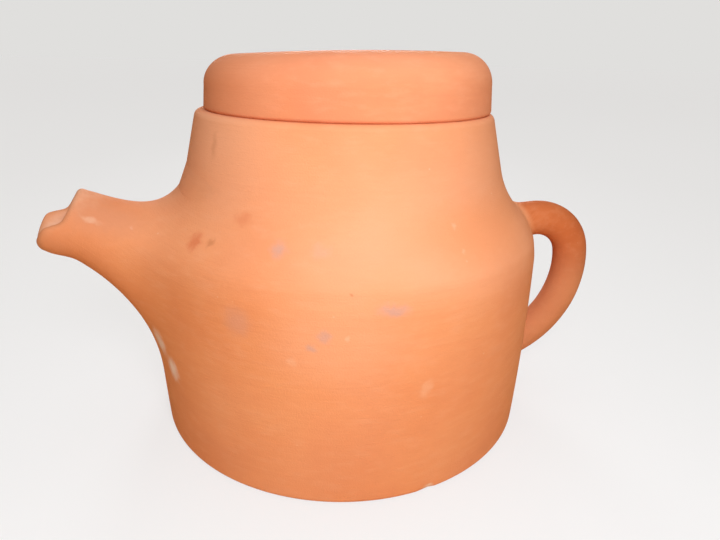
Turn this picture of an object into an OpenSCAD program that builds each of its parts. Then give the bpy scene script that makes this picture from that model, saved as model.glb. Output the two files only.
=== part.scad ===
// Earthenware coffee pot: thrown body, luted spout and loop handle, loose lid.
// Millimetres, +Z up. The origin is the middle of the foot, and the spout points along -X.

/* [Body] */
// Diameter of the wall where the shoulder starts
belly_d = 180.6; // [160:0.2:200]
// How much smaller the foot's radius is than the wall's at the shoulder
foot_inset = 0.5; // [-2:0.1:6]
// Rounding of the foot's edge
foot_edge = 2.5; // [1:0.5:5]
// How far the wall swells between foot and shoulder
belly_swell = 0.8; // [0:0.1:3]
// Height where the shoulder starts
shoulder_h = 81; // [76:1:95]
// Radius of the shoulder's bend
shoulder_r = 28; // [22:0.5:34]
// Lean of the side at the end of the shoulder's bend, degrees
shoulder_lean = 45; // [38:1:50]
// Radius of the hollow between shoulder and neck
hollow_r = 40; // [32:0.5:48]
// Lean of the neck towards the rim, degrees
neck_lean = 14; // [8:1:18]
// Height of the straight neck above the hollow
neck_len = 23.6; // [18:0.2:34]
// Rounding of the rim's outer edge
rim_edge = 3; // [1:0.5:3.5]
// Rounding of the rim's inner edge
rim_inner_edge = 1; // [0.5:0.25:1.5]
// Thickness of the wall
wall = 7.5; // [6.5:0.5:9.5]
// Thickness of the floor
floor_t = 8; // [6:0.5:12]
// Rounding between wall and floor, inside
floor_round = 14; // [6:1:20]

/* [Lid] */
// How far the lid's edge stands inside the rim's outer edge
lid_inset = 3.2; // [2:0.1:4]
// Height of the lid above the rim
lid_h = 24.9; // [22:0.1:32]
// Height of the crown above its rounded edge
lid_dome = 1.4; // [0.4:0.2:3]
// Width of the rounded edge
lid_round_w = 16.2; // [10:0.2:20]
// Height of the rounded edge
lid_round_h = 13.2; // [8:0.2:17]
// Rounding of the lower edge
lid_edge = 1.5; // [0.5:0.25:2]
// Thickness of the crown
lid_crown_t = 8; // [6:0.5:10]
// Rounding inside the crown
lid_inner_round = 7; // [3:0.5:8]
// Depth of the flange that hangs in the neck
flange_depth = 12; // [6:0.5:18]
// Thickness of the flange
flange_t = 6; // [4:0.5:8]
// Gap between flange and neck
flange_gap = 1.4; // [0.6:0.1:2.4]

/* [Spout] */
// Height above the shoulder's start where the spout's middle line leaves the wall
spout_up = 3.6; // [-6:0.2:8]
// Rise of the spout, degrees
spout_rise = 31; // [24:1:36]
// Length from the wall to the end of the lower lip
spout_len = 41.2; // [36:0.2:52]
// Outer diameter at the tip
spout_tip_d = 26.6; // [22:0.2:32]
// Outer diameter at the wall
spout_root_d = 45.2; // [41:0.2:50]
// How fast the flare opens towards the wall
spout_flare = 2.3; // [2:0.1:2.5]
// Thickness of the spout's wall
spout_wall = 4.6; // [3.4:0.2:5.6]
// How far the upper lip stands back from the lower lip
lip_step = 6.5; // [1:0.5:9]
// Diameter of the pouring hole in the body's wall
pour_d = 24; // [16:1:27]

/* [Handle] */
// Turn about the pot's axis from straight opposite the spout, degrees
handle_turn = -17; // [-25:1:25]
// Height above the shoulder's start where the bar's middle line leaves the wall
handle_up = 9.6; // [6:0.2:13]
// Diameter of the bar
bar_d = 16.9; // [14:0.1:19]
// Rise of the bar at the wall, degrees
bar_rise = 21; // [16:1:26]
// Radius of the upper bend
bend_r = 19.4; // [17:0.2:22]
// Turn of the upper bend from the wall on, degrees
bend_turn = 99; // [94:1:104]
// Radius of the long bend down to the lower root
bow_r = 49.4; // [46:0.2:53]

/* [Luting] */
// Width of the coil smeared along spout and wall
spout_coil_w = 11; // [7:0.5:13]
// Width of the coil smeared along bar and wall
bar_coil_w = 6; // [4:0.5:7]
// Thickness of a coil at its worn edges
coil_edge = 0.6; // [0.4:0.1:1]

/* [Hidden] */
clay = [0.87, 0.55, 0.37];
dark_clay = [0.80, 0.45, 0.28];
lid_clay = [0.85, 0.51, 0.36];
$fn = 96;
turned_fn = 180;
arc_steps = 10;
// Depth that a coil runs on under the surfaces it covers
bury = 1;

wall_r = belly_d / 2;
foot_r = wall_r - foot_inset;
spout_h = shoulder_h + spout_up;
handle_h = shoulder_h + handle_up;

// Where the shoulder's bend ends, where the neck starts, and the rim
bend_end_r = wall_r - shoulder_r * (1 - cos(shoulder_lean));
bend_end_h = shoulder_h + shoulder_r * sin(shoulder_lean);
neck_r = bend_end_r - hollow_r * (cos(neck_lean) - cos(shoulder_lean));
neck_h = bend_end_h + hollow_r * (sin(shoulder_lean) - sin(neck_lean));
rim_h = neck_h + neck_len;

function unit(v) = v / norm(v);
function aim(a) = [cos(a), sin(a)];
function steps(from, to) = [for (i = [0:arc_steps]) from + (to - from) * i / arc_steps];
function arc(mid, r, from, to) = [for (a = steps(from, to)) mid + r * aim(a)];
function back_to_front(list) = [for (i = [len(list) - 1:-1:0]) list[i]];

// Radius of the neck at height z, at a depth below its surface
function neck_at(z, depth) = neck_r - depth / cos(neck_lean) - (z - neck_h) * tan(neck_lean);

// Radius of the wall below the shoulder at height z
function wall_at(z) =
    let (t = z / shoulder_h)
    foot_r + foot_inset * t + 4 * belly_swell * t * (1 - t);

// Half section of the side from height low to the neck, at a depth below the pot's surface
function side(depth, low) = concat(
    [for (z = steps(low, shoulder_h)) [wall_at(z) - depth, z]],
    [for (a = steps(0, shoulder_lean))
        if (a > 0)
        [wall_r - shoulder_r, shoulder_h] + (shoulder_r - depth) * aim(a)],
    [for (a = steps(shoulder_lean, neck_lean))
        if (a < shoulder_lean)
        [neck_r, neck_h] + hollow_r * aim(neck_lean) - (hollow_r + depth) * aim(a)]);

// Rounding from a level face up to the wall, which ends at height top, at a depth below the wall's surface
function foot_arc(depth, r, top) =
    [for (p = arc([wall_at(top) - depth - r, top], r, -90, 0)) if (p.y < top) p];

// Rounded edge of the rim, its middle at a depth below the neck's surface
function rim_arc(depth, r, from, to) = arc([neck_at(rim_h - r, depth), rim_h - r], r, from, to);

outer = concat(
    foot_arc(0, foot_edge, foot_edge),
    side(0, foot_edge),
    rim_arc(rim_edge, rim_edge, neck_lean, 90));
inner_low = floor_t + floor_round;
inner = concat(
    foot_arc(wall, floor_round, inner_low),
    side(wall, inner_low),
    rim_arc(wall - rim_inner_edge, rim_inner_edge, 180 + neck_lean, 90));

module body_solid() {
    rotate_extrude($fn = turned_fn)
        polygon(concat([[0, 0]], outer, [[0, rim_h]]));
}

module body() {
    color(clay)
    difference() {
        rotate_extrude($fn = turned_fn)
            polygon(concat([[0, 0]], outer, back_to_front(inner), [[0, floor_t]]));
        at_spout()
            cylinder(d = pour_d, h = 2 * pour_d, center = true);
    }
}

// Frame of the spout: its middle line along Z from the wall, its upper side towards X
module at_spout() {
    translate([-wall_r, 0, spout_h])
        rotate([0, spout_rise - 90, 0])
        children();
}

// Length of the flare buried in the body, and half section of the spout's outside
spout_back = 30;
spout_steps = 20;
tip_r = spout_tip_d / 2;
lip_r = spout_wall / 2;
lip_mid = spout_len - lip_r;
function spout_at(x) =
    tip_r + (spout_root_d - spout_tip_d) / 2 * pow((spout_len - x) / spout_len, spout_flare);
spout_side = [for (i = [0:spout_steps])
    let (x = (lip_mid + spout_back) * i / spout_steps - spout_back)
    [spout_at(x), x]];
spout_bore = [for (p = spout_side) [p.x - spout_wall, p.y]];

module spout_solid() {
    at_spout()
        rotate_extrude()
        polygon(concat([[0, -spout_back]], spout_side, [[0, lip_mid]]));
}

module spout() {
    lip = [for (p = arc([spout_at(lip_mid) - lip_r, lip_mid], lip_r, 0, 180)) if (p.y > lip_mid) p];
    color(clay)
    difference() {
        at_spout()
        difference() {
            rotate_extrude()
                polygon(concat(spout_side, lip, back_to_front(spout_bore)));
            lip_cut();
        }
        body_solid();
    }
}

// The mouth is cut square across its upper half, then slopes out to the end of the lower lip
module lip_cut() {
    back = spout_len - lip_step;
    front = spout_len + lip_step;
    rotate([90, 0, 0])
        linear_extrude(2 * spout_tip_d, center = true)
        polygon([[0, back], [spout_tip_d, back], [spout_tip_d, front], [-2 * lip_step, front]]);
}

// Bar of the handle in its own upright plane: two bends that meet in line, both ends buried in the body
bar_r = bar_d / 2;
root_turn = 32;
low_dir = bar_rise - bend_turn;
bow_turn = 180 + low_dir;
bend_mid = [wall_r, handle_h] + bend_r * aim(bar_rise - 90);
bow_mid = bend_mid + (bow_r - bend_r) * aim(low_dir - 90);
bend_len = bend_r * (root_turn + bend_turn) * PI / 180;
bar_len = bend_len + bow_r * bow_turn * PI / 180;

function turned(p) = [p.x * cos(handle_turn) - p.y * sin(handle_turn),
    p.x * sin(handle_turn) + p.y * cos(handle_turn), p.z];

// A point round a bend: t along it, a round the bar, raised off its surface
function bend_skin(mid, r, t, a, raise) =
    let (c = mid + (r + (bar_r + raise) * cos(a)) * aim(t))
    turned([c.x, (bar_r + raise) * sin(a), c.y]);

// A point on the bar: x along it from its upper end
function bar_skin(x, a, raise) = x < bend_len
    ? bend_skin(bend_mid, bend_r, bar_rise + 90 + root_turn - x / bend_r * 180 / PI, a, raise)
    : bend_skin(bow_mid, bow_r, low_dir + 90 - (x - bend_len) / bow_r * 180 / PI, a, raise);

module bar() {
    rings = 44;
    sides = 28;
    polyhedron(
        points = [for (i = [0:rings], k = [0:sides - 1]) bar_skin(bar_len * i / rings, k * 360 / sides, 0)],
        faces = concat(
            [[for (k = [sides - 1:-1:0]) k]],
            [for (i = [0:rings - 1], k = [0:sides - 1])
                let (m = (k + 1) % sides, a = i * sides, b = a + sides)
                each [[a + k, b + m, b + k], [a + k, a + m, b + m]]],
            [[for (k = [0:sides - 1]) rings * sides + k]]));
}

module handle() {
    color(dark_clay)
    difference() {
        bar();
        body_solid();
    }
}

// Surfaces that the coils lie on: x outwards along spout or bar, a round it, raised off it
spout_skin = function (x, a, raise)
    let (r = spout_at(x) + raise,
        p = [-wall_r, spout_h] + x * aim(180 - spout_rise) + r * cos(a) * aim(90 - spout_rise))
    [p.x, r * sin(a), p.y];
upper_skin = function (x, a, raise) bar_skin(x, -a, raise);
lower_skin = function (x, a, raise) bar_skin(bar_len - x, a, raise);

// The pot's surface: radius by height, distance off it, and its outward direction
outer_by_height = [for (p = outer) [p.y, p.x]];
function outer_at(z) = lookup(z, outer_by_height);
function off_wall(p) = norm([p.x, p.y]) - outer_at(p.z);
function wall_dir(p) =
    let (n = unit([p.x, p.y]))
    unit([n.x, n.y, (outer_at(p.z - 1) - outer_at(p.z + 1)) / 2]);

// Distance along a skin at which it comes out of the body, halving n times
function exit_at(skin, a, low, high, n = 24) =
    let (mid = (low + high) / 2)
    n == 0 ? mid :
    off_wall(skin(mid, a, 0)) > 0 ? exit_at(skin, a, low, mid, n - 1) : exit_at(skin, a, mid, high, n - 1);

// Section of a coil: down a hollow curve from skin to wall, and back under both
curve_steps = 4;
hollow_pull = 0.7;
function coil_section(skin, a, low, high, w) =
    let (x = exit_at(skin, a, low, high),
        corner = skin(x, a, 0),
        middle = (corner + skin(x, a + 180, 0)) / 2,
        n = wall_dir(corner),
        away = unit(corner - middle - ((corner - middle) * n) * n),
        flat = corner + w * away,
        grow = outer_at(flat.z) / norm([flat.x, flat.y]),
        foot = [flat.x * grow, flat.y * grow, flat.z],
        foot_n = wall_dir(foot),
        top = skin(x + w, a, coil_edge),
        toe = foot + coil_edge * foot_n,
        knee = corner * hollow_pull + (top + toe) * (1 - hollow_pull) / 2)
    concat(
        [skin(x + w, a, -bury)],
        [for (i = [0:curve_steps])
            let (t = i / curve_steps)
            top * (1 - t) * (1 - t) + knee * 2 * t * (1 - t) + toe * t * t],
        [foot - bury * foot_n, skin(x - bury, a, -bury)]);

module coil(skin, low, high, w) {
    rounds = 36;
    rings = [for (i = [0:rounds - 1]) coil_section(skin, i * 360 / rounds, low, high, w)];
    n = len(rings[0]);
    polyhedron(
        points = [for (r = rings) each r],
        faces = [for (i = [0:rounds - 1], k = [0:n - 1])
            let (m = (k + 1) % n, a = i * n, b = (i + 1) % rounds * n)
            each [[a + k, a + m, b + m], [a + k, b + m, b + k]]]);
}

module spout_coil() {
    color(clay)
    difference() {
        coil(spout_skin, -spout_back, spout_len / 2, spout_coil_w);
        spout_solid();
        body_solid();
    }
}

module bar_coil(skin) {
    color(dark_clay)
    difference() {
        coil(skin, 0, 1.5 * bend_r, bar_coil_w);
        bar();
        body_solid();
    }
}

module handle_upper_coil() bar_coil(upper_skin);
module handle_lower_coil() bar_coil(lower_skin);

// Half section of the lid, from the middle of its hollow round to the middle of its crown, above the rim
lid_r = neck_at(rim_h, 0) - lid_inset;
flange_r = neck_at(rim_h - rim_inner_edge, wall) - flange_gap;
flange_in_r = flange_r - flange_t;
flange_edge = 1.5;
flange_low = flange_edge - flange_depth;
lid_in_h = lid_h - lid_crown_t;
lid_top = lid_h - lid_dome;
lid_flat_r = lid_r - lid_round_w;
lid_section = concat(
    [[0, lid_in_h]],
    arc([flange_in_r - lid_inner_round, lid_in_h - lid_inner_round], lid_inner_round, 90, 0),
    arc([flange_in_r + flange_edge, flange_low], flange_edge, 180, 270),
    arc([flange_r - flange_edge, flange_low], flange_edge, -90, 0),
    [[flange_r, 0]],
    arc([lid_r - lid_edge, lid_edge], lid_edge, -90, 0),
    [for (a = steps(0, 90)) [lid_flat_r + lid_round_w * cos(a), lid_top - lid_round_h * (1 - sin(a))]],
    [for (t = steps(0, 1)) if (t > 0) [lid_flat_r * (1 - t), lid_top + lid_dome * (1 - (1 - t) * (1 - t))]]);

module lid() {
    color(lid_clay)
    translate([0, 0, rim_h])
        rotate_extrude($fn = turned_fn)
        polygon(lid_section);
}

body();
spout();
spout_coil();
handle();
handle_upper_coil();
handle_lower_coil();
lid();
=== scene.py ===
# %% [markdown]
# # A lidded earthenware coffee pot
# The pot is thrown on a wheel: a wide straight belly, a round shoulder and a neck that leans in.
# A spout and a loop handle are thrown or rolled apart and stuck on with wet clay.
# A thick lid sits loose on the rim.
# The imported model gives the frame. Its solids are plain, so each piece is made again here,
# with softer and finer shapes.

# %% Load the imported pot
from math import cos, exp, hypot, pi, radians, sin, tan

import bmesh
import bpy
import numpy as np
from mathutils import Matrix, Vector, noise


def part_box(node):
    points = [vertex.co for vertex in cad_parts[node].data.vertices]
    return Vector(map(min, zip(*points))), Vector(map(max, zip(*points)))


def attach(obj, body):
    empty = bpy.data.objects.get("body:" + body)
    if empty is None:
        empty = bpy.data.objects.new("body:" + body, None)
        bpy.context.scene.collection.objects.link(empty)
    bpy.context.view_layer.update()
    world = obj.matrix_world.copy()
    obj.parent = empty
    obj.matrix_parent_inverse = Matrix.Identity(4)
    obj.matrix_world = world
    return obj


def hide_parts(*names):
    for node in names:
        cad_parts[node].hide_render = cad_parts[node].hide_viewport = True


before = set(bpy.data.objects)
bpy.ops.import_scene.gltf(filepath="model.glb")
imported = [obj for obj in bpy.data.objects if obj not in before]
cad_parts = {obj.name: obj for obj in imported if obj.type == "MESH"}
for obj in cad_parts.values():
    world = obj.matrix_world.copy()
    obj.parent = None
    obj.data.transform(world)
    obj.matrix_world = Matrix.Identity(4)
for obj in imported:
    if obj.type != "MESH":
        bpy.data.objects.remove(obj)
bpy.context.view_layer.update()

# %% [markdown]
# ## The camera
# The camera stands close and a little above, with a wide lens, as for a hand-held snapshot.
# Its place and turns were worked out from the pot's own outline.
# A matrix product reads as a photographer's moves:
# turn to the pot, tip down, then lean the camera a little to one side.

# %% Camera
CAMERA_AT = Vector((-0.0855, -0.2349, 0.1636))
HEADING = radians(-21.87)
TIP_DOWN = radians(21.65)
LEAN = radians(1.34)
LENS_MM = 26.45
SENSOR_MM = 36
NEAREST = 0.01

camera = bpy.data.objects.new("camera", bpy.data.cameras.new("camera"))
camera.data.lens = LENS_MM
camera.data.sensor_width = SENSOR_MM
camera.data.clip_start = NEAREST
camera.matrix_world = (
    Matrix.Translation(CAMERA_AT)
    @ Matrix.Rotation(HEADING, 4, "Z")
    @ Matrix.Rotation(pi / 2 - TIP_DOWN, 4, "X")
    @ Matrix.Rotation(LEAN, 4, "Z")
)
bpy.context.scene.collection.objects.link(camera)
bpy.context.scene.camera = camera
print("camera looks along", [round(x, 3) for x in -camera.matrix_world.col[2].xyz])

# %% [markdown]
# ## The pot's half section
# Everything thrown on a wheel is half a section turned about the axis. It is drawn once, from a few sizes:
# a wall that swells a little, a round bend for the shoulder, a hollow bend, and a straight leaning neck.
# Two bends that touch in line have their middles in line, so the second middle follows from the first.
# A tool left a faint ring round the shoulder. It is added to the outside as a soft ridge.

# %% Sizes of the pot, in metres
RIM_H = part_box("body")[1].z
FOOT_R = 0.0898
BELLY_R = 0.0903
BELLY_SWELL = 0.0008
FOOT_EDGE = 0.0025
SHOULDER_H = 0.081
SHOULDER_BEND = 0.028
SHOULDER_LEAN = 45
SHOULDER_STEPS = 48
RIDGE_H = 0.0912
RIDGE_W = 0.0026
RIDGE = 0.00035
HOLLOW_BEND = 0.040
NECK_LEAN = 14
RIM_EDGE = 0.003
RIM_INNER_EDGE = 0.001
WALL = 0.0075
FLOOR = 0.008
FLOOR_ROUND = 0.014
ARC_STEPS = 14
SIDE_STEPS = 40


def aim(degrees):
    """A unit step in the half section's plane."""
    return Vector((cos(radians(degrees)), sin(radians(degrees))))


def arc(mid, r, start, end, steps=ARC_STEPS):
    """Points of a round stretch of a half section, between two angles in degrees."""
    return [mid + r * aim(a) for a in np.linspace(start, end, steps + 1)]


def straight(start, end, steps=SIDE_STEPS):
    """Points of a straight stretch, without its two ends."""
    return [start.lerp(end, i / steps) for i in range(1, steps)]


bend_mid = Vector((BELLY_R - SHOULDER_BEND, SHOULDER_H))
hollow_mid = bend_mid + (SHOULDER_BEND + HOLLOW_BEND) * aim(SHOULDER_LEAN)
neck_foot = hollow_mid - HOLLOW_BEND * aim(NECK_LEAN)
print("neck starts at height", round(neck_foot.y, 4), "radius", round(neck_foot.x, 4))


# %% Stretches of the section
def wall_at(z):
    """Radius of the wall below the shoulder."""
    t = z / SHOULDER_H
    return FOOT_R + (BELLY_R - FOOT_R) * t + 4 * BELLY_SWELL * t * (1 - t)


def neck_at(z, depth):
    """Radius of the neck, at a depth below its surface."""
    lean = radians(NECK_LEAN)
    return neck_foot.x - depth / cos(lean) - (z - neck_foot.y) * tan(lean)


def foot_arc(depth, r, top):
    """Rounding from a level face up to the wall."""
    return arc(Vector((wall_at(top) - depth - r, top)), r, -90, 0)[:-1]


def side(depth, low):
    """The side from a height up to the neck, at a depth below the pot's surface."""
    wall = [Vector((wall_at(z) - depth, z)) for z in np.linspace(low, SHOULDER_H, SIDE_STEPS)]
    bend = arc(bend_mid, SHOULDER_BEND - depth, 0, SHOULDER_LEAN, SHOULDER_STEPS)
    hollow = arc(hollow_mid, HOLLOW_BEND + depth, 180 + SHOULDER_LEAN, 180 + NECK_LEAN)
    return wall + bend[1:] + hollow[1:]


def rim_arc(depth, r, start):
    """Rounding at the rim, which ends on its flat top."""
    return arc(Vector((neck_at(RIM_H - r, depth), RIM_H - r)), r, start, 90)


def to_rim(lower, rim):
    """A side, the straight neck above it and the rim's rounding, in one stretch."""
    return lower + straight(lower[-1], rim[0]) + rim


def ridge_at(z):
    """How far the faint ring stands out that the potter's tool left round the shoulder."""
    return RIDGE * exp(-((z - RIDGE_H) / RIDGE_W) ** 2)


plain_outside = to_rim(
    foot_arc(0, FOOT_EDGE, FOOT_EDGE) + side(0, FOOT_EDGE),
    rim_arc(RIM_EDGE, RIM_EDGE, NECK_LEAN),
)
outside = [Vector((p.x + ridge_at(p.y), p.y)) for p in plain_outside]
inner_low = FLOOR + FLOOR_ROUND
inside = to_rim(
    foot_arc(WALL, FLOOR_ROUND, inner_low) + side(WALL, inner_low),
    rim_arc(WALL - RIM_INNER_EDGE, RIM_INNER_EDGE, 180 + NECK_LEAN),
)
print("section points", len(outside), "outside and", len(inside), "inside")

# %% [markdown]
# ## Turning a section
# Blender's spin operator is the potter's wheel. It needs use_merge to join the last step to the first.
# Points on the axis come out many times over, so doubles are merged before the faces are turned outwards.
# The same operator turns the spout about its own slanted line, when a matrix sets the result in place.

# %% Helpers that turn, trim and finish a mesh
TURN_STEPS = 192
SAME_POINT = 1e-6
SHARP = radians(50)


def face_out(bm):
    """Turns all faces of a closed mesh outwards. A thin ring can come out inside out: its volume tells."""
    bmesh.ops.recalc_face_normals(bm, faces=bm.faces)
    if bm.calc_volume(signed=True) < 0:
        bmesh.ops.reverse_faces(bm, faces=bm.faces)


def lathe(section, closed=False, steps=TURN_STEPS):
    """A bmesh made by spinning a half section of (radius, height) about the Z axis."""
    bm = bmesh.new()
    verts = [bm.verts.new((r, 0, z)) for r, z in section]
    pairs = list(zip(verts, verts[1:])) + ([(verts[-1], verts[0])] if closed else [])
    edges = [bm.edges.new(pair) for pair in pairs]
    bmesh.ops.spin(bm, geom=verts + edges, axis=(0, 0, 1), angle=2 * pi, steps=steps, use_merge=True)
    bmesh.ops.remove_doubles(bm, verts=bm.verts, dist=SAME_POINT)
    face_out(bm)
    return bm


def soften(mesh):
    """Shades a mesh smooth, except over edges that are really sharp."""
    mesh.shade_smooth()
    mesh.set_sharp_from_angle(angle=SHARP)


def piece(name, bm):
    """An object at the origin, smooth shaded, from a bmesh."""
    mesh = bpy.data.meshes.new(name)
    bm.to_mesh(mesh)
    bm.free()
    soften(mesh)
    obj = bpy.data.objects.new(name, mesh)
    bpy.context.scene.collection.objects.link(obj)
    return obj


def press_at(p, depth, span):
    """How far clay is pressed at a point, from nothing to minus the depth, in a smooth pattern."""
    return depth * (noise.noise(p / span) - 1) / 2


def hand_made(bm, depth, span):
    """Presses each point in a little, level, because hands leave clay never quite true."""
    bm.normal_update()
    for v in bm.verts:
        v.co.xy += v.normal.xy * press_at(v.co, depth, span)


def trim(obj, cutter):
    """Cuts one piece by another and keeps the result as plain mesh."""
    mod = obj.modifiers.new("trim", "BOOLEAN")
    mod.object = cutter
    mod.solver = "EXACT"
    cut = obj.evaluated_get(bpy.context.evaluated_depsgraph_get())
    obj.data = bpy.data.meshes.new_from_object(cut)
    obj.modifiers.clear()
    soften(obj.data)


print("a full turn takes", TURN_STEPS, "steps")

# %% [markdown]
# ## The body
# The inside of a thrown pot keeps the rings that the fingers drew up the wall, while the outside was wiped.
# So the inner section gets shallow rings as real shape. The outside has only the ring at its shoulder,
# and is pressed a little out of true.
# The foot lost a chip where it was knocked: the points round that place are pushed in.

# %% Body
RING_PITCH = 0.009
RING_DEPTH = 0.0004
BODY_PRESS = 0.0003
BODY_PRESS_SPAN = 0.06
CHIP_TURN = -86.8
CHIP_SIZE = 0.0032
CHIP_DEPTH = 0.0011


def ring_at(z):
    """Depth of the throwing rings on the inside, at a height."""
    return RING_DEPTH * (1 + sin(2 * pi * z / RING_PITCH)) / 2


ringed = [Vector((p.x - ring_at(p.y), p.y)) for p in inside[:-ARC_STEPS]]
inner_rim = inside[:-ARC_STEPS - 1:-1]
body_section = [Vector((0, 0))] + outside + inner_rim + ringed[::-1] + [Vector((0, FLOOR))]
bm = lathe(body_section)
hand_made(bm, BODY_PRESS, BODY_PRESS_SPAN)
chip_at = Vector((FOOT_R * aim(CHIP_TURN).x, FOOT_R * aim(CHIP_TURN).y, FOOT_EDGE / 2))
for v in bm.verts:
    near = 1 - (v.co - chip_at).length / CHIP_SIZE
    if near > 0:
        v.co.xy *= 1 - CHIP_DEPTH * near / FOOT_R
body = piece("pot_body", bm)
block = piece("pot_block", lathe([Vector((0, 0))] + outside + [Vector((0, RIM_H))]))
print("body faces", len(body.data.polygons))

# %% [markdown]
# ## The spout
# The spout is a small trumpet, thrown apart, that widens towards the wall. Its mouth was cut with a wire:
# square across the upper half, then sloping out to the lower lip, and wiped round with a wet finger.
# A cut by planes would leave sharp edges.
# Sliding the points of the round lip back along the spout keeps it soft.

# %% Spout
SPOUT_H = 0.0846
SPOUT_RISE = radians(31)
SPOUT_LEN = 0.0412
SPOUT_BACK = 0.030
TIP_R = 0.0133
ROOT_R = 0.0226
SPOUT_FLARE = 2.3
SPOUT_WALL = 0.0046
LIP_TOP = 0.0347
LIP_STEP = 0.0054
LIP_SLOPE = 1.15
LIP_SKEW = 0.0020
LIP_SOFT = 0.0016
LIP_LONG = 0.0045
PINCH = 0.07
DROOP = 0.18
DROOP_FROM = 0.018
DROOP_FULL = 0.006
MOUTH_FROM = 0.029
SPOUT_STEPS = 48
SPOUT_TURN_STEPS = 96
spout_frame = Matrix.Translation((-BELLY_R, 0, SPOUT_H)) @ Matrix.Rotation(SPOUT_RISE - pi / 2, 4, "Y")


def spout_at(x):
    """Outer radius of the spout at a distance from the wall."""
    return TIP_R + (ROOT_R - TIP_R) * ((SPOUT_LEN - x) / SPOUT_LEN) ** SPOUT_FLARE


def soft_above_zero(d):
    """The distance d where it is positive and nothing below, with a soft bend between."""
    return (d + hypot(d, LIP_SOFT)) / 2


def mouth_at(up, across):
    """How far the mouth reaches, by height above the spout's middle line and distance to one side."""
    out = LIP_STEP - soft_above_zero(LIP_STEP - soft_above_zero(-LIP_SLOPE * up))
    return LIP_TOP + out + LIP_SKEW * max(0, across / TIP_R) * out / LIP_STEP


def pinch_at(up, across, x):
    """Share by which fingers pressed in the upper cheeks, most at the mouth, none on top or at the sides."""
    turned_up = max(0, up) * across / (up * up + across * across)
    return PINCH * (2 * turned_up) ** 2 * max(0, x / SPOUT_LEN) ** 2


def ease(t):
    """Goes from 0 to 1 with a level start and end."""
    return t * t * (3 - 2 * t)


def droop_at(up, across, x):
    """Share by which the lower lip hangs thicker, over the last stretch to the mouth."""
    turned_down = max(0, -up) / hypot(up, across)
    t = min(1, max(0, (x - SPOUT_LEN + DROOP_FROM) / (DROOP_FROM - DROOP_FULL)))
    return DROOP * turned_down ** 2 * ease(t)


lip_r = SPOUT_WALL / 2
lip_mid = SPOUT_LEN - LIP_LONG
spout_outside = [Vector((spout_at(x), x)) for x in np.linspace(-SPOUT_BACK, lip_mid, SPOUT_STEPS)]
spout_inside = [Vector((p.x - SPOUT_WALL, p.y)) for p in spout_outside]
lip = [
    Vector((spout_at(lip_mid) - lip_r + lip_r * aim(a).x, lip_mid + LIP_LONG * aim(a).y))
    for a in np.linspace(0, 180, 2 * ARC_STEPS)[1:-1]
]
bm = lathe(spout_outside + lip + spout_inside[::-1], closed=True, steps=SPOUT_TURN_STEPS)
for v in bm.verts:
    outer = min(1, max(0, (hypot(v.co.x, v.co.y) - spout_at(v.co.z) + SPOUT_WALL) / SPOUT_WALL))
    v.co.xy *= (1 - pinch_at(*v.co)) * (1 + outer * droop_at(*v.co))
    if v.co.z > MOUTH_FROM:
        stretch = (mouth_at(v.co.x, v.co.y) - MOUTH_FROM) / (SPOUT_LEN - MOUTH_FROM)
        v.co.z = MOUTH_FROM + (v.co.z - MOUTH_FROM) * stretch
bm.transform(spout_frame)
spout = piece("spout_trumpet", bm)
trim(spout, block)
print("spout faces", len(spout.data.polygons))

# %% [markdown]
# ## The pouring hole
# Before the spout is stuck on, the potter bores a hole through the wall behind it.
# A cone shape cut out by a Boolean modifier does the same, and the cutter is thrown away afterwards.

# %% Pouring hole
POUR_R = 0.012
BORER_LEN = 4 * POUR_R
BORER_SIDES = 64

bm = bmesh.new()
bmesh.ops.create_cone(
    bm, cap_ends=True, segments=BORER_SIDES, radius1=POUR_R, radius2=POUR_R, depth=BORER_LEN,
    matrix=spout_frame)
borer = piece("borer", bm)
trim(body, borer)
bpy.data.objects.remove(borer)
print("body faces with its hole", len(body.data.polygons))

# %% [markdown]
# ## The handle
# The handle is a rolled bar of clay, bent into a loop: a tight bend at the top and a long one below it.
# Two spins of one circle draw it, each about the middle of its own bend. The second middle lies on the line
# through the first, so the bar runs on without a kink. Both ends run into the wall and are trimmed there.

# %% Handle
HANDLE_TURN = radians(-17)
HANDLE_H = 0.0906
BAR_R = 0.00845
BAR_RISE = 21
BEND_R = 0.0194
BEND_TURN = 99
BOW_R = 0.0494
ROOT_TURN = 32
BAR_SIDES = 40
BAR_STEPS = 40
BAR_PRESS = 0.0005
BAR_PRESS_SPAN = 0.022

low_dir = BAR_RISE - BEND_TURN
bow_turn = 180 + low_dir
loop_mid = Vector((BELLY_R, HANDLE_H)) + BEND_R * aim(BAR_RISE - 90)
bow_mid = loop_mid + (BOW_R - BEND_R) * aim(low_dir - 90)
start_turn = BAR_RISE + 90 + ROOT_TURN
start = loop_mid + BEND_R * aim(start_turn)
handle_frame = Matrix.Rotation(HANDLE_TURN, 3, "Z")


def upright(p):
    """A point of the handle's own plane, before the handle is turned about the pot."""
    return Vector((p.x, 0, p.y))


bm = bmesh.new()
bmesh.ops.create_circle(
    bm, segments=BAR_SIDES, radius=BAR_R,
    matrix=Matrix.Translation(upright(start)) @ Matrix.Rotation(-radians(start_turn), 4, "Y"))
ring = bm.edges[:]
for mid, turn in ((loop_mid, ROOT_TURN + BEND_TURN), (bow_mid, bow_turn)):
    swept = bmesh.ops.spin(
        bm, geom=ring, cent=upright(mid), axis=(0, 1, 0), angle=radians(turn), steps=BAR_STEPS)
    ring = [g for g in swept["geom_last"] if isinstance(g, bmesh.types.BMEdge)]
bmesh.ops.holes_fill(bm, edges=bm.edges)
face_out(bm)
bmesh.ops.rotate(bm, verts=bm.verts, matrix=handle_frame)
hand_made(bm, BAR_PRESS, BAR_PRESS_SPAN)
handle = piece("handle_bar", bm)
trim(handle, block)
bpy.data.objects.remove(block)

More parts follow.
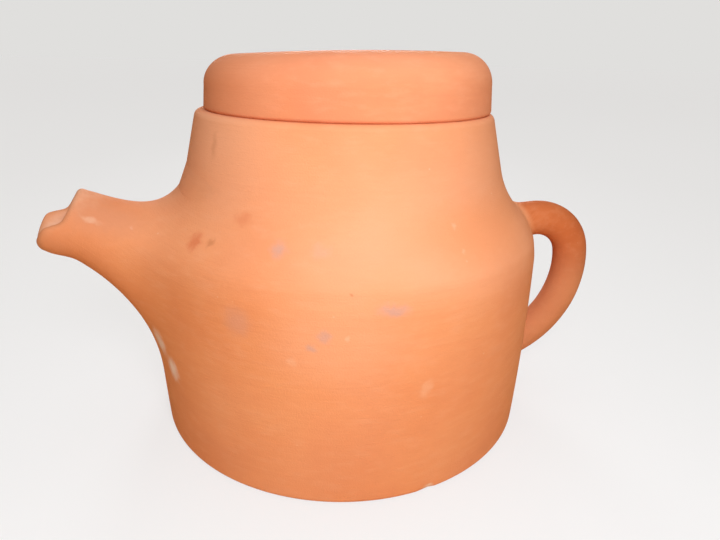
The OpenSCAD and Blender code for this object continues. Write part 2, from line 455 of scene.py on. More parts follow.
# %% [markdown]
# ## Clay smeared into the joins
# Spout and handle are stuck on with slip, and a thin coil of clay is pressed into each join and smoothed off.
# It makes the soft hollow curve between two pieces. Round each join, a section runs down the one skin and
# out over the wall, as a curve that leaves both in line. Its ends dip a hair under them, so no line shows.
# The sections' points form loops, and bridge_loops joins these to a closed ring.

# %% Where a skin meets the wall
SLOPE_STEP = 0.0025
HALVINGS = 24
outside_h = [p.y for p in outside]
outside_r = [p.x for p in outside]


def pot_at(z):
    """Outer radius of the pot at a height."""
    return float(np.interp(z, outside_h, outside_r))


def on_wall(p, proud=0):
    """The point on the pot's surface beside p, moved out from the surface, and the way out there."""
    level = Vector((p.x, p.y, 0)).normalized()
    slope = (pot_at(p.z - SLOPE_STEP / 2) - pot_at(p.z + SLOPE_STEP / 2)) / SLOPE_STEP
    out = (level + Vector((0, 0, slope))).normalized()
    true = level * pot_at(p.z) + Vector((0, 0, p.z))
    true.xy += out.xy * press_at(true, BODY_PRESS, BODY_PRESS_SPAN)
    return true + proud * out, out


def exit_from_wall(skin, a, low, high):
    """Distance along a skin at which it comes out of the wall, found by halving."""
    for _ in range(HALVINGS):
        mid = (low + high) / 2
        p = skin(mid, a, 0)
        if p.xy.length > on_wall(p)[0].xy.length:
            high = mid
        else:
            low = mid
    return high


print("pot's radius where the handle leaves it", round(pot_at(HANDLE_H), 4))

# %% The coil's section and its ring
COIL_ROUNDS = 96
CURVE_STEPS = 28
CURVE_POWER = 2.5
HIDDEN_STEPS = 8
DIP = 0.00006
DIP_LEN = 0.004
BURY = 0.001


def coil_section(skin, a, low, high, width, reach):
    """A closed section: from under the skin, along the hollow curve, to under the wall, and back.

    From the corner between skin and wall, the curve is a step up the skin plus a step out over the wall.
    The one step shrinks while the other grows, so the curve ends in line with both.
    The way back lies hidden below the skin.
    """
    x = exit_from_wall(skin, a, low, high)
    corner = skin(x, a, 0)
    middle = (corner + skin(x, a + 180, 0)) / 2
    out = on_wall(corner)[1]
    away = corner - middle
    away = (away - away.dot(out) * out).normalized()
    curve = []
    for t in np.linspace(0, 1, CURVE_STEPS):
        up_skin = skin(x + width * (1 - t) ** CURVE_POWER, a, 0)
        over_wall = on_wall(corner + away * (reach * t ** CURVE_POWER))[0]
        curve.append(up_skin + over_wall - corner)
    under_skin = skin(x + width + DIP_LEN, a, -DIP)
    under_wall = on_wall(corner + (reach + DIP_LEN) * away, -DIP)[0]
    below = [skin(x + (width + DIP_LEN) * t - BURY, a, -BURY) for t in np.linspace(0, 1, HIDDEN_STEPS)]
    return [under_skin] + curve + [under_wall] + below


def coil(name, skin, low, high, width, side_width, side_reach):
    """The ring of clay round a join. Above and below it is as wide on the wall as on the skin."""
    sections = []
    for i in range(COIL_ROUNDS):
        a = 360 * i / COIL_ROUNDS
        sideways = aim(a).y ** 2
        wide = width + (side_width - width) * sideways
        reach = width + (side_reach - width) * sideways
        sections.append(coil_section(skin, a, low, high, wide, reach))
    bm = bmesh.new()
    loops = []
    for points in zip(*sections):
        verts = [bm.verts.new(p) for p in points]
        loops.append([bm.edges.new((verts[i - 1], verts[i])) for i in range(COIL_ROUNDS)])
    for near, far in zip(loops, loops[1:] + loops[:1]):
        bmesh.ops.bridge_loops(bm, edges=near + far)
    face_out(bm)
    obj = piece(name, bm)
    print(name, "faces", len(obj.data.polygons))
    return obj


# %% Skins of spout and handle
bend_len = BEND_R * radians(ROOT_TURN + BEND_TURN)
bar_len = bend_len + BOW_R * radians(bow_turn)


def spout_skin(x, a, proud):
    """A point on the spout: x out from the wall, a degrees round it, moved off its surface."""
    up, across = aim(a)
    r = spout_at(x) * (1 - pinch_at(up, across, x)) + proud
    return spout_frame @ Vector((r * up, r * across, x))


def bar_skin(x, a, proud):
    """A point on the handle's bar: x along it from its upper end."""
    if x < bend_len:
        mid, r, turn = loop_mid, BEND_R, start_turn - np.degrees(x / BEND_R)
    else:
        mid, r, turn = bow_mid, BOW_R, low_dir + 90 - np.degrees((x - bend_len) / BOW_R)
    line = mid + (r + (BAR_R + proud) * aim(a).x) * aim(turn)
    return handle_frame @ Vector((line.x, (BAR_R + proud) * aim(a).y, line.y))


def lower_skin(x, a, proud):
    """The same bar, measured from its lower end."""
    return bar_skin(bar_len - x, a, proud)


print("the handle's bar is", round(bar_len, 4), "long")

# %% The three coils
SPOUT_COIL = 0.0185
SPOUT_COIL_SIDE = 0.028
SPOUT_COIL_REACH = 0.050
SPOUT_CLEAR = SPOUT_LEN / 2
BAR_COIL = 0.0085
BAR_CLEAR = 1.5 * BEND_R

spout_coil = coil(
    "spout_coil_smeared", spout_skin, -SPOUT_BACK, SPOUT_CLEAR,
    SPOUT_COIL, SPOUT_COIL_SIDE, SPOUT_COIL_REACH)
upper_coil = coil("handle_upper_coil_smeared", bar_skin, 0, BAR_CLEAR, BAR_COIL, BAR_COIL, BAR_COIL)
lower_coil = coil("handle_lower_coil_smeared", lower_skin, 0, BAR_CLEAR, BAR_COIL, BAR_COIL, BAR_COIL)

# %% [markdown]
# ## The lid
# The lid is thrown upside down as a thick shallow cap, with a flange below that keeps it on the neck.
# It has no knob: it is lifted by its rounded edge. The real one is a little thicker on one side.
# So the section is turned true first, and its points are then raised towards that side,
# more the higher they are.

# %% Lid
LID_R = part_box("lid")[1].x
LID_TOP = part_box("lid")[1].z
LID_DOME = 0.0012
DOME_SPARE = LID_DOME / 4
LID_ROUND_W = 0.0138
LID_ROUND_H = 0.0126
LID_FLARE = 0.0008
LID_EDGE = 0.0015
LID_SIDE_STEPS = 8
CROWN = 0.008
CROWN_ROUND = 0.007
FLANGE_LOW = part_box("lid")[0].z
FLANGE_GAP = 0.0018
FLANGE = 0.006
FLANGE_EDGE = 0.0015
THICK_SIDE = -20
THICK_TILT = radians(1.6)
LID_SHIFT = 0.0012

flange_r = neck_at(RIM_H - RIM_INNER_EDGE, WALL) - FLANGE_GAP
flange_in = flange_r - FLANGE
flat_r = LID_R - LID_ROUND_W
# The dome rises over the raised edge by up to about a quarter of its own height.
edge_h = LID_TOP - tan(THICK_TILT) * flat_r - DOME_SPARE
hollow_h = LID_TOP - CROWN
crown_round = [
    Vector((flat_r + LID_ROUND_W * aim(a).x, edge_h - LID_ROUND_H * (1 - aim(a).y)))
    for a in np.linspace(0, 90, 2 * ARC_STEPS)
]
crown_top = [
    Vector((flat_r * (1 - t), edge_h + LID_DOME * (1 - (1 - t) ** 2)))
    for t in np.linspace(0, 1, ARC_STEPS)[1:]
]
lower_edge = arc(Vector((LID_R + LID_FLARE - LID_EDGE, RIM_H + LID_EDGE)), LID_EDGE, -90, 0)
lid_section = (
    [Vector((0, hollow_h))]
    + arc(Vector((flange_in - CROWN_ROUND, hollow_h - CROWN_ROUND)), CROWN_ROUND, 90, 0)
    + arc(Vector((flange_in + FLANGE_EDGE, FLANGE_LOW + FLANGE_EDGE)), FLANGE_EDGE, 180, 270)
    + arc(Vector((flange_r - FLANGE_EDGE, FLANGE_LOW + FLANGE_EDGE)), FLANGE_EDGE, -90, 0)
    + [Vector((flange_r, RIM_H))]
    + lower_edge
    + straight(lower_edge[-1], crown_round[0], steps=LID_SIDE_STEPS)
    + crown_round
    + crown_top
)
bm = lathe(lid_section)
hand_made(bm, BODY_PRESS, BODY_PRESS_SPAN)
thick_side = Vector((aim(THICK_SIDE).x, aim(THICK_SIDE).y, 0))
for v in bm.verts:
    if v.co.z > RIM_H:
        v.co.z += tan(THICK_TILT) * v.co.dot(thick_side) * (v.co.z - RIM_H) / (edge_h - RIM_H)
    v.co += LID_SHIFT * thick_side
lid = piece("lid_cap", bm)
lid_top = max(v.co.z for v in lid.data.vertices)
print("lid faces", len(lid.data.polygons), "top", round(lid_top, 5), "of", round(LID_TOP, 5))

# %% [markdown]
# ## Unglazed terracotta
# Terracotta is an iron-rich clay fired bright orange without a glaze. It is dull and a little chalky to the
# eye, with level streaks from wiping on the wheel, clouds from the kiln, grains of grit and lime specks.
# Every pattern reads Object coordinates. All pieces share one frame, so the patterns run on
# from one to the next.

# %% Helpers for materials
def linear(hex_colour):
    """An sRGB hex colour as the linear colour that a shader takes."""
    parts = [int(hex_colour[i:i + 2], 16) / 255 for i in (1, 3, 5)]
    return [c / 12.92 if c <= 0.04045 else ((c + 0.055) / 1.055) ** 2.4 for c in parts] + [1]


def add(tree, kind, inputs=None, **settings):
    """Adds a node with its settings. Inputs are sockets by name or number, each a value or a link."""
    node = tree.nodes.new("ShaderNode" + kind)
    for key, value in settings.items():
        setattr(node, key, value)
    for key, value in (inputs or {}).items():
        if isinstance(value, bpy.types.NodeSocket):
            tree.links.new(value, node.inputs[key])
        else:
            node.inputs[key].default_value = value
    return node


def per(size):
    """Scale of a pattern whose grains are this many metres wide."""
    return 1 / size


print("a middle grey is linear", round(linear("#808080")[0], 3))

# %% [markdown]
# ## One clay, three firings
# Body, lid and handle are the same clay, but the lid came out redder, and the handle is darker: partly its
# own tone and partly painted shade.
# Each has a pale, a middle and a deep tone, and a bloom: a pale haze that covers more or less by height. The
# haze is partly the clay's own bloom and partly painted highlight.
# Short functions lay these over one another, from large clouds to small specks.

# %% Three clays
WHEEL_DRAWN = 3
HAND_ROLLED = 1.5
# Pale lime for specks and the chip, also used for one painted highlight on the spout's cheek.
LIME_AND_PAINTED_HIGHLIGHT = "#F3E3D0"
# Bloom and painted highlight: two heights, each with the share that the pale haze covers there.
POT_CLAY = {
    "pale": "#E58F50", "mid": "#E18444", "deep": "#D67536", "bloom": "#EBA985",
    "bloom_and_painted_highlight": ((0.072, 0.46), (0.104, 0.76)), "mottle": 0.22, "drawn_out": WHEEL_DRAWN,
}
# The handle's darker clay: partly its own tone, partly painted shade on the bar, which is turned away at the
# side.
HANDLE_CLAY_DARKER_AND_SHADED = {
    "pale": "#D27745", "mid": "#C66735", "deep": "#B65627", "bloom": "#DC9A72",
    "bloom_and_painted_highlight": ((0.088, 0.16), (0.055, 0.84)), "mottle": 0.18, "drawn_out": HAND_ROLLED,
}
LID_CLAY = {
    "pale": "#E1884F", "mid": "#DB7A44", "deep": "#CE6B38", "bloom": "#ECA685",
    "bloom_and_painted_highlight": ((0.148, 0.64), (0.165, 0.68)), "mottle": 0.28, "drawn_out": WHEEL_DRAWN,
}
print("clays", POT_CLAY["mid"], HANDLE_CLAY_DARKER_AND_SHADED["mid"], LID_CLAY["mid"])

# %% Clouds and wiped streaks
CLOUD = 0.050
CLOUD_NOISE = {"Detail": 4.0, "Roughness": 0.55}
CLOUD_DEEP = 0.32
CLOUD_MID = 0.5
CLOUD_PALE = 0.68
STREAK_LEN = 0.026
STREAK_W = 0.0013
STREAK_NOISE = {"Scale": 1.0, "Detail": 4.0, "Roughness": 0.65}
STREAK_FROM = 0.46
STREAK_FULL = 0.76
STREAK_COVER = 0.4
STREAK_FADE = 0.005
WIPED_R = 0.092


def from_axis(tree, xyz):
    """The distance of a point from the pot's axis."""
    level = add(tree, "CombineXYZ", {"X": xyz.outputs["X"], "Y": xyz.outputs["Y"]})
    return add(tree, "VectorMath", {0: level.outputs[0]}, operation="LENGTH").outputs["Value"]


def clouded(tree, coords, clay):
    """Large soft clouds from pale to deep, as the kiln left them."""
    clouds = add(tree, "TexNoise", {"Vector": coords, "Scale": per(CLOUD), **CLOUD_NOISE})
    tone = add(tree, "ValToRGB", {"Fac": clouds.outputs["Fac"]})
    low, high = tone.color_ramp.elements
    low.position = CLOUD_DEEP
    low.color = linear(clay["deep"])
    high.position = CLOUD_PALE
    high.color = linear(clay["pale"])
    tone.color_ramp.elements.new(CLOUD_MID).color = linear(clay["mid"])
    return tone.outputs["Color"]


def level_streaks(tree, xyz, radius):
    """Streaks from wiping on the wheel. Real ones are finer: these are drawn coarser, so that they show."""
    rise = add(tree, "Math", {0: xyz.outputs["Z"], 1: radius}, operation="SUBTRACT")
    band = add(tree, "CombineXYZ", {"X": xyz.outputs["X"], "Y": xyz.outputs["Y"], "Z": rise.outputs[0]})
    drawn = add(
        tree, "VectorMath", {0: band.outputs[0], 1: (per(STREAK_LEN), per(STREAK_LEN), per(STREAK_W))},
        operation="MULTIPLY")
    return add(tree, "TexNoise", {"Vector": drawn.outputs[0], **STREAK_NOISE}).outputs["Fac"]


def wiped(tree, colour, streaks, radius, clay):
    """Darkens a colour along the streaks, on the wheel-turned pieces but not out on spout and handle."""
    turned = add(tree, "MapRange", {
        "Value": radius, "From Min": WIPED_R + STREAK_FADE, "From Max": WIPED_R, "To Max": STREAK_COVER})
    cover = add(tree, "MapRange", {
        "Value": streaks, "From Min": STREAK_FROM, "From Max": STREAK_FULL, "To Max": turned.outputs[0]})
    mix = add(
        tree, "Mix", {"Factor": cover.outputs[0], "A": colour, "B": linear(clay["deep"])}, data_type="RGBA")
    return mix.outputs["Result"]


print("streaks", STREAK_LEN, "long and", STREAK_W, "wide")

# %% Mottle, bloom and specks
BLOT = 0.0032
BLOT_NOISE = {"Scale": 1.0, "Detail": 4.0, "Roughness": 0.6}
BLOT_DEEP = 0.3
BLOT_NONE = 0.5
BLOT_PALE = 0.7
BLOOM = 0.085
BLOOM_SEED = 3.0
BLOOM_NOISE = {"Detail": 3.0, "W": BLOOM_SEED}
BLOOM_LOW = 0.35
BLOOM_HIGH = 0.65
PATCHY = 0.25
SPECK_ROOM = 0.012
SPECK = 0.0005
SPECK_CORE = 0.5 * SPECK
SPECK_COVER = 0.2


def mottled(tree, colour, coords, clay):
    """Small deep and pale blots, drawn out level by the wheel, or nearly round on clay rolled by hand."""
    blot_len = BLOT * clay["drawn_out"]
    spread = add(
        tree, "VectorMath", {0: coords, 1: (per(blot_len), per(blot_len), per(BLOT))}, operation="MULTIPLY")
    blots = add(tree, "TexNoise", {"Vector": spread.outputs[0], **BLOT_NOISE})
    for full, tint in ((BLOT_DEEP, "deep"), (BLOT_PALE, "bloom")):
        cover = add(tree, "MapRange", {
            "Value": blots.outputs["Fac"], "From Min": BLOT_NONE, "From Max": full, "To Max": clay["mottle"]})
        mix = add(
            tree, "Mix", {"Factor": cover.outputs[0], "A": colour, "B": linear(clay[tint])}, data_type="RGBA")
        colour = mix.outputs["Result"]
    return colour


def bloom_and_painted_highlight(tree, colour, coords, xyz, clay):
    """The pale haze, partly the firing's bloom and partly painted highlight, which changes with height and in
    patches.
    """
    (start, start_cover), (full, full_cover) = clay["bloom_and_painted_highlight"]
    haze = add(
        tree, "TexNoise", {"Vector": coords, "Scale": per(BLOOM), **BLOOM_NOISE}, noise_dimensions="4D")
    risen = add(tree, "MapRange", {
        "Value": xyz.outputs["Z"], "From Min": start, "From Max": full,
        "To Min": start_cover, "To Max": full_cover}, interpolation_type="SMOOTHSTEP")
    patchy = add(tree, "MapRange", {
        "Value": haze.outputs["Fac"], "From Min": BLOOM_LOW, "From Max": BLOOM_HIGH,
        "To Min": 1 - PATCHY, "To Max": 1 + PATCHY})
    cover = add(tree, "Math", {0: risen.outputs[0], 1: patchy.outputs[0]}, operation="MULTIPLY")
    mix = add(
        tree, "Mix", {"Factor": cover.outputs[0], "A": colour, "B": linear(clay["bloom"])}, data_type="RGBA")
    return mix.outputs["Result"]


def specked(tree, colour, coords):
    """A few pale specks of lime, far apart."""
    specks = add(tree, "TexVoronoi", {"Vector": coords, "Scale": per(SPECK_ROOM)})
    cover = add(tree, "MapRange", {
        "Value": specks.outputs["Distance"], "From Min": SPECK / SPECK_ROOM,
        "From Max": SPECK_CORE / SPECK_ROOM, "To Max": SPECK_COVER})
    mix = add(tree, "Mix", {"Factor": cover.outputs[0], "A": colour, "B": linear(LIME_AND_PAINTED_HIGHLIGHT)}, data_type="RGBA")
    return mix.outputs["Result"]


def clay_layers(tree, coords, clay):
    """A clay's colour without marks, and its streaks, which the relief needs too."""
    xyz = add(tree, "SeparateXYZ", {"Vector": coords})
    radius = from_axis(tree, xyz)
    streaks = level_streaks(tree, xyz, radius)
    colour = clouded(tree, coords, clay)
    colour = wiped(tree, colour, streaks, radius, clay)
    colour = mottled(tree, colour, coords, clay)
    colour = bloom_and_painted_highlight(tree, colour, coords, xyz, clay)
    colour = specked(tree, colour, coords)
    return colour, streaks


print("specks about", SPECK_ROOM, "apart")

# %% [markdown]
# ## Marks of firing and use
# The pot's front has its own marks: grey-violet stains, pale strokes below the spout, rusty spots,
# specks of lime and a mouth that is pale inside, partly from dust and partly as a painted highlight.
# Each is a soft ball in the marked piece's own axes, squeezed to a width and a height.
# The first two are painted light: a pale painted highlight on the front of the belly, and a patch without
# bloom, painted shade that dims the shoulder's highlight towards the handle.

# %% Marks
LILAC = "#C69C92"
ASH = "#EFD8D0"
RED = "#C9603A"
SOOT = "#A8683F"
# A pinker, darker tone: partly the clay's own pink, partly painted shade.
PINK_TINT_AND_SHADE = "#CF8E6C"
ROSE = "#EBA694"
DUST_AND_PAINTED_HIGHLIGHT = "#F3CDB4"
# Painted shade for the spout.
PAINTED_SPOUT_SHADE = "#CF7842"
# Painted shade for the lid.
PAINTED_LID_SHADE = "#D67C4D"
# The bloom's colour, used for a painted highlight on the front of the belly.
PAINTED_FRONT_HIGHLIGHT = POT_CLAY["bloom"]
# The clay's middle tone, used as painted shade that takes the bloom off the shoulder.
PAINTED_SHOULDER_SHADE = POT_CLAY["mid"]
MARK_EDGE = 1.35
MARK_FULL = 0.2


def spot(base, around, out, along, lean):
    """A mark's own axes: X level round the piece, Y into it, Z up it."""
    return (
        base @ Matrix.Rotation(radians(around + 90), 4, "Z")
        @ Matrix.Translation((0, -out, along)) @ Matrix.Rotation(radians(lean), 4, "Y")
    )


def on_pot(turn, height, lean=0):
    """A spot on the pot's wall."""
    return spot(Matrix.Identity(4), turn, pot_at(height), height, lean)


def on_lid(turn, height):
    """A spot on the lid's side."""
    return spot(Matrix.Identity(4), turn, LID_R, height, 0)


def on_spout(x, a):
    """A spot on the spout, x out from the wall and a degrees round it."""
    return spot(spout_frame, a, spout_at(x), x, 0)


def in_mouth(x):
    """A spot on the spout's middle line, for what lies inside its mouth."""
    return spot(spout_frame, 0, 0, x, 0)


# Each mark: spot, half width, half height, strength, colour.
MARKS = [
    # Painted highlight on the front of the belly.
    (on_pot(-110.0, 0.0720), 0.0300, 0.0180, 0.50, PAINTED_FRONT_HIGHLIGHT),
    # Painted shade that dims the shoulder's highlight towards the handle.
    (on_pot(-68.0, 0.1040), 0.0360, 0.0130, 0.42, PAINTED_SHOULDER_SHADE),
    (on_pot(-126.2, 0.1024), 0.0034, 0.0036, 0.65, LILAC),
    (on_pot(-99.0, 0.0846, 3), 0.0065, 0.0024, 0.70, LILAC),
    (on_pot(-114.2, 0.0753), 0.0028, 0.0028, 0.60, LILAC),
    (on_pot(-117.0, 0.0704), 0.0024, 0.0020, 0.60, LILAC),
    (on_pot(-167.0, 0.0510, -25), 0.0050, 0.0065, 0.90, ASH),
    (on_pot(-161.5, 0.0413, -28), 0.0050, 0.0055, 0.90, ASH),
    (on_pot(-151.7, 0.0994), 0.0034, 0.0040, 0.50, RED),
    (on_pot(-146.1, 0.1006), 0.0022, 0.0020, 0.40, SOOT),
    (on_pot(-139.0, 0.1097), 0.0042, 0.0026, 0.25, RED),
    (on_pot(-134.8, 0.0766), 0.0065, 0.0060, 0.30, LILAC),
    (on_pot(-90.0, 0.0515, 30), 0.0026, 0.0046, 0.12, LIME_AND_PAINTED_HIGHLIGHT),
    (on_pot(CHIP_TURN, 0.0012), 0.0026, 0.0022, 0.60, LIME_AND_PAINTED_HIGHLIGHT),
    (on_pot(-78.7, 0.1079), 0.0012, 0.0012, 0.14, LIME_AND_PAINTED_HIGHLIGHT),
    (on_pot(-78.1, 0.1001), 0.0011, 0.0012, 0.12, LIME_AND_PAINTED_HIGHLIGHT),
    (on_pot(-109.2, 0.0748), 0.0013, 0.0012, 0.15, LIME_AND_PAINTED_HIGHLIGHT),
    (on_pot(-121.6, 0.0645), 0.0020, 0.0020, 0.10, LIME_AND_PAINTED_HIGHLIGHT),
    (on_pot(-115.5, 0.1025), 0.0038, 0.0028, 0.30, ROSE),
    (on_pot(-108.2, 0.0904), 0.0009, 0.0009, 0.45, SOOT),
    (on_pot(-156.2, 0.1328), 0.0018, 0.0050, 0.22, SOOT),
    # Painted shade that darkens the spout towards its mouth.
    (in_mouth(0.026), 0.0220, 0.0280, 0.60, PAINTED_SPOUT_SHADE),
    # A pinker, darker patch along the spout's cheek: partly the clay's pink tone, partly painted shade that
    # dims the lit cheek.
    (on_spout(0.024, -52), 0.0085, 0.0180, 0.70, PINK_TINT_AND_SHADE),
    # A painted highlight on the spout's upper cheek, in the lime colour.
    (on_spout(0.0264, -63), 0.0013, 0.0040, 0.20, LIME_AND_PAINTED_HIGHLIGHT),
    (on_spout(0.0112, -57), 0.0012, 0.0012, 0.25, ASH),
    # The pale inside of the mouth: partly dust, partly a painted highlight.
    (in_mouth(0.033), 0.0098, 0.0150, 0.85, DUST_AND_PAINTED_HIGHLIGHT),
]
# Painted shade on the lid's side towards the spout.
LID_MARKS = [(on_lid(-168, 0.149), 0.045, 0.030, 0.42, PAINTED_LID_SHADE)]


def paint_mark(tree, colour, coords, mark):
    """Lays one soft-edged mark over a colour."""
    place, half_w, half_h, strength, paint = mark
    local = add(tree, "Mapping", {
        "Vector": coords, "Location": place.translation, "Rotation": place.to_euler(),
        "Scale": (half_w, max(half_w, half_h), half_h)}, vector_type="TEXTURE")
    away = add(tree, "VectorMath", {0: local.outputs[0]}, operation="LENGTH")
    cover = add(tree, "MapRange", {
        "Value": away.outputs["Value"], "From Min": MARK_EDGE, "From Max": MARK_FULL, "To Max": strength},
        interpolation_type="SMOOTHSTEP")
    mix = add(tree, "Mix", {"Factor": cover.outputs[0], "A": colour, "B": linear(paint)}, data_type="RGBA")
    return mix.outputs["Result"]


print("marks", len(MARKS), "on pot and spout and", len(LID_MARKS), "on the lid")

# %% [markdown]
# ## The finish
# Where the handle's clay is smeared on the wall it is thin, so the pot's own colour shows through.
# Its finish mixes the two clays by how far a point stands off the wall.
# Marks get ragged edges, because the coordinates that they read are pushed about a little.

# %% Parts of the finish
SMEAR_THIN = 0.0006
SMEAR_THICK = 0.0055
SHOULDER_FALL = 0.016
RAG = 0.0032
RAG_PUSH = 0.0045
PLAIN_NOISE = {"Detail": 2.0}
GRIT = 0.0006
CLAY_ROUGH = 0.78
ROUGH_SPREAD = 0.08
SKIN_DEPTH = 0.00025
SKIN_STRENGTH = 0.5


def levelled_radius(tree, coords):
    """Distance from the axis plus what the shoulder falls back, so that the wall has nearly one radius."""
    xyz = add(tree, "SeparateXYZ", {"Vector": coords})
    over = add(tree, "MapRange", {
        "Value": xyz.outputs["Z"], "From Min": SHOULDER_H, "From Max": SHOULDER_H + SHOULDER_BEND})
    square = add(tree, "Math", {0: over.outputs[0], 1: over.outputs[0]}, operation="MULTIPLY")
    fall = add(tree, "Math", {0: square.outputs[0], 1: SHOULDER_FALL}, operation="MULTIPLY")
    return add(tree, "Math", {0: from_axis(tree, xyz), 1: fall.outputs[0]}, operation="ADD").outputs[0]


def smeared(tree, colour, coords, clay):
    """Fades a colour into the clay below it, where it lies thin on the wall."""
    below = clay_layers(tree, coords, clay)[0]
    thick = add(tree, "MapRange", {
        "Value": levelled_radius(tree, coords),
        "From Min": BELLY_R + SMEAR_THIN, "From Max": BELLY_R + SMEAR_THICK}, interpolation_type="SMOOTHSTEP")
    mix = add(tree, "Mix", {"Factor": thick.outputs[0], "A": below, "B": colour}, data_type="RGBA")
    return mix.outputs["Result"]


def ragged(tree, coords):
    """Coordinates that are pushed about a little."""
    push = add(tree, "TexNoise", {"Vector": coords, "Scale": per(RAG), **PLAIN_NOISE})
    nudge = add(
        tree, "VectorMath", {0: push.outputs["Color"], 1: (RAG_PUSH,) * 3, 2: (-RAG_PUSH / 2,) * 3},
        operation="MULTIPLY_ADD")
    return add(tree, "VectorMath", {0: coords, 1: nudge.outputs[0]}, operation="ADD").outputs[0]


def roughen(tree, shader, coords, streaks):
    """A dull skin with grit and streaks. Real grit is finer: it is drawn coarser here, so that it shows."""
    grit = add(tree, "TexNoise", {"Vector": coords, "Scale": per(GRIT), **PLAIN_NOISE})
    relief = add(tree, "Math", {0: streaks, 1: grit.outputs["Fac"]}, operation="ADD")
    bump = add(
        tree, "Bump", {"Height": relief.outputs[0], "Distance": SKIN_DEPTH, "Strength": SKIN_STRENGTH})
    tree.links.new(bump.outputs["Normal"], shader.inputs["Normal"])
    dull = add(tree, "MapRange", {
        "Value": grit.outputs["Fac"],
        "To Min": CLAY_ROUGH - ROUGH_SPREAD, "To Max": CLAY_ROUGH + ROUGH_SPREAD})
    tree.links.new(dull.outputs[0], shader.inputs["Roughness"])


print("the smear thins out over", round(SMEAR_THICK - SMEAR_THIN, 4))

# %% Terracotta
CLAY_IOR = 1.5
CLAY_GLOSS = 0.12


def terracotta(name, clay, marks=(), smeared_on=None):
    """Fired red clay without glaze, dull and gritty to the eye. It may fade into the clay below it."""
    material = bpy.data.materials.new(name)
    material.use_nodes = True
    tree = material.node_tree
    shader = tree.nodes["Principled BSDF"]
    coords = add(tree, "TexCoord").outputs["Object"]
    colour, streaks = clay_layers(tree, coords, clay)
    if smeared_on:
        colour = smeared(tree, colour, coords, smeared_on)
    smudged = ragged(tree, coords)
    for mark in marks:
        colour = paint_mark(tree, colour, smudged, mark)
    tree.links.new(colour, shader.inputs["Base Color"])
    roughen(tree, shader, coords, streaks)
    shader.inputs["IOR"].default_value = CLAY_IOR
    shader.inputs["Specular IOR Level"].default_value = CLAY_GLOSS
    print(name, "nodes", len(tree.nodes))
    return material


# %% Dress the pieces
body_clay = terracotta("terracotta_body", POT_CLAY, marks=MARKS)
handle_clay_darker_and_shaded = terracotta("terracotta_handle_darker_and_shaded", HANDLE_CLAY_DARKER_AND_SHADED, smeared_on=POT_CLAY)
lid_clay = terracotta("terracotta_lid", LID_CLAY, marks=LID_MARKS)

DRESSED = [
    (body, "pot", "body", "clay", body_clay),
    (spout, "pot", "spout", "clay", body_clay),
    (spout_coil, "pot", "spout_coil", "clay", body_clay),
    (handle, "pot", "handle", "dark_clay", handle_clay_darker_and_shaded),
    (upper_coil, "pot", "handle_upper_coil", "dark_clay", handle_clay_darker_and_shaded),
    (lower_coil, "pot", "handle_lower_coil", "dark_clay", handle_clay_darker_and_shaded),
    (lid, "lid", "lid", "lid_clay", lid_clay),
]
for obj, rides_on, node, slot, material in DRESSED:
    obj.data.materials.clear()
    obj.data.materials.append(material)
    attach(obj, rides_on)
    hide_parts(node)
print("dressed", [row[0].name for row in DRESSED])

# %% [markdown]
# ## Floor and light
# The pot stands on a pale floor. A soft lamp near the camera lights it from the front,
# as the snapshot was lit. A wide one overhead softens the shade, and a weak one behind lights the far side.
# The light that comes back from floor and room is warm, which keeps the clay's shade rich.
# The camera itself sees both in pale grey.

# %% Floor
FLOOR_R = 30
FLOOR_SIDES = 96
FLOOR_DROP = 0.0002
FLOOR_GREY = "#DEE0E4"
FLOOR_WARM = "#DDBE90"
FLOOR_ROUGH = 0.9
FLOOR_SHOWN = "#FFFFFF"
FLOOR_GLOW = 0.66

bm = bmesh.new()
bmesh.ops.create_circle(
    bm, cap_ends=True, segments=FLOOR_SIDES, radius=FLOOR_R, matrix=Matrix.Translation((0, 0, -FLOOR_DROP)))
floor = piece("floor", bm)
floor_paint = bpy.data.materials.new("matt_floor_paint")
floor_paint.use_nodes = True
tree = floor_paint.node_tree
paint = tree.nodes["Principled BSDF"]
paint.inputs["Roughness"].default_value = FLOOR_ROUGH
glow = add(tree, "Emission", {"Color": linear(FLOOR_SHOWN), "Strength": 1.0})
seen = add(tree, "LightPath")
sent = add(
    tree, "Mix", {"Factor": seen.outputs["Is Camera Ray"], "A": linear(FLOOR_WARM), "B": linear(FLOOR_GREY)},
    data_type="RGBA")
tree.links.new(sent.outputs["Result"], paint.inputs["Base Color"])
direct = add(tree, "Math", {0: seen.outputs["Is Camera Ray"], 1: FLOOR_GLOW}, operation="MULTIPLY")
shown = add(tree, "MixShader", {0: direct.outputs[0], 1: paint.outputs[0], 2: glow.outputs[0]})
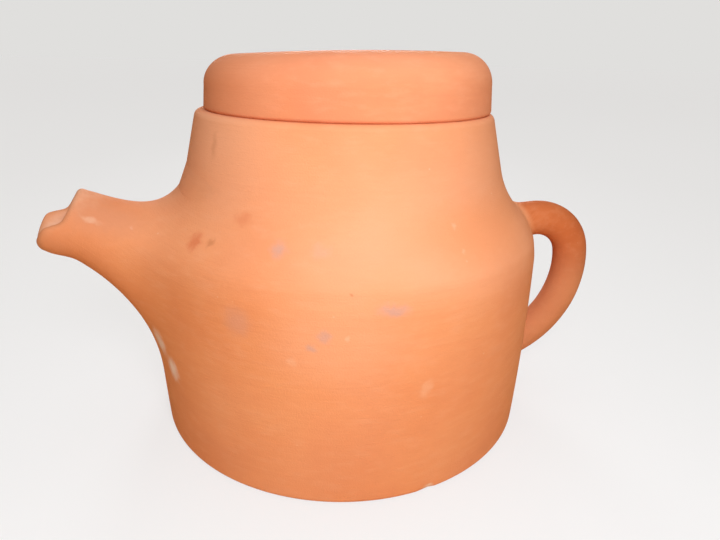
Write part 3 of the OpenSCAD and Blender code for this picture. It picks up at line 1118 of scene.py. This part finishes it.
tree.links.new(shown.outputs[0], tree.nodes["Material Output"].inputs["Surface"])
floor.data.materials.append(floor_paint)
print("floor radius", FLOOR_R)

# %% Lamps
LAMP_AIM = Vector((0, 0, 0.08))


def soft_lamp(name, at, size, watts, spread=180):
    """A square lamp that faces the pot. A small spread, in degrees, narrows its light as a grid does."""
    lamp = bpy.data.objects.new(name, bpy.data.lights.new(name, "AREA"))
    lamp.data.size = size
    lamp.data.energy = watts
    lamp.data.spread = radians(spread)
    lamp.location = at
    lamp.rotation_euler = (LAMP_AIM - Vector(at)).to_track_quat("-Z", "Y").to_euler()
    lamp.visible_camera = False
    bpy.context.scene.collection.objects.link(lamp)
    print(name, watts, "watts")


soft_lamp("front_lamp", at=(-0.078, -0.32, 0.272), size=0.14, watts=1.11)
soft_lamp("top_lamp", at=(0.3, 0.3, 1.6), size=1.2, watts=4.0)
soft_lamp("back_lamp", at=(0.45, 1.30, 0.55), size=0.5, watts=0.6, spread=40)

# %% World
WORLD_GREY = "#E0DFDD"
WARM_FILL = "#F6DEC0"
WORLD_FILL = 0.30

world = bpy.data.worlds.new("pale_room")
world.use_nodes = True
tree = world.node_tree
room = tree.nodes["Background"]
seen = add(tree, "LightPath")
straight_on = add(
    tree, "Math", {0: seen.outputs["Is Camera Ray"], 1: seen.outputs["Is Glossy Ray"]}, operation="MAXIMUM")
shown = add(
    tree, "Math", {0: straight_on.outputs[0], 1: seen.outputs["Is Transmission Ray"]}, operation="MAXIMUM")
level = add(tree, "MapRange", {"Value": shown.outputs[0], "To Min": WORLD_FILL, "To Max": 1.0})
tint = add(
    tree, "Mix", {"Factor": shown.outputs[0], "A": linear(WARM_FILL), "B": linear(WORLD_GREY)},
    data_type="RGBA")
tree.links.new(level.outputs[0], room.inputs["Strength"])
tree.links.new(tint.outputs["Result"], room.inputs["Color"])
bpy.context.scene.world = world
bpy.context.scene.view_settings.view_transform = "Standard"
print("world", WORLD_GREY, "to the camera and", WARM_FILL, "as fill")
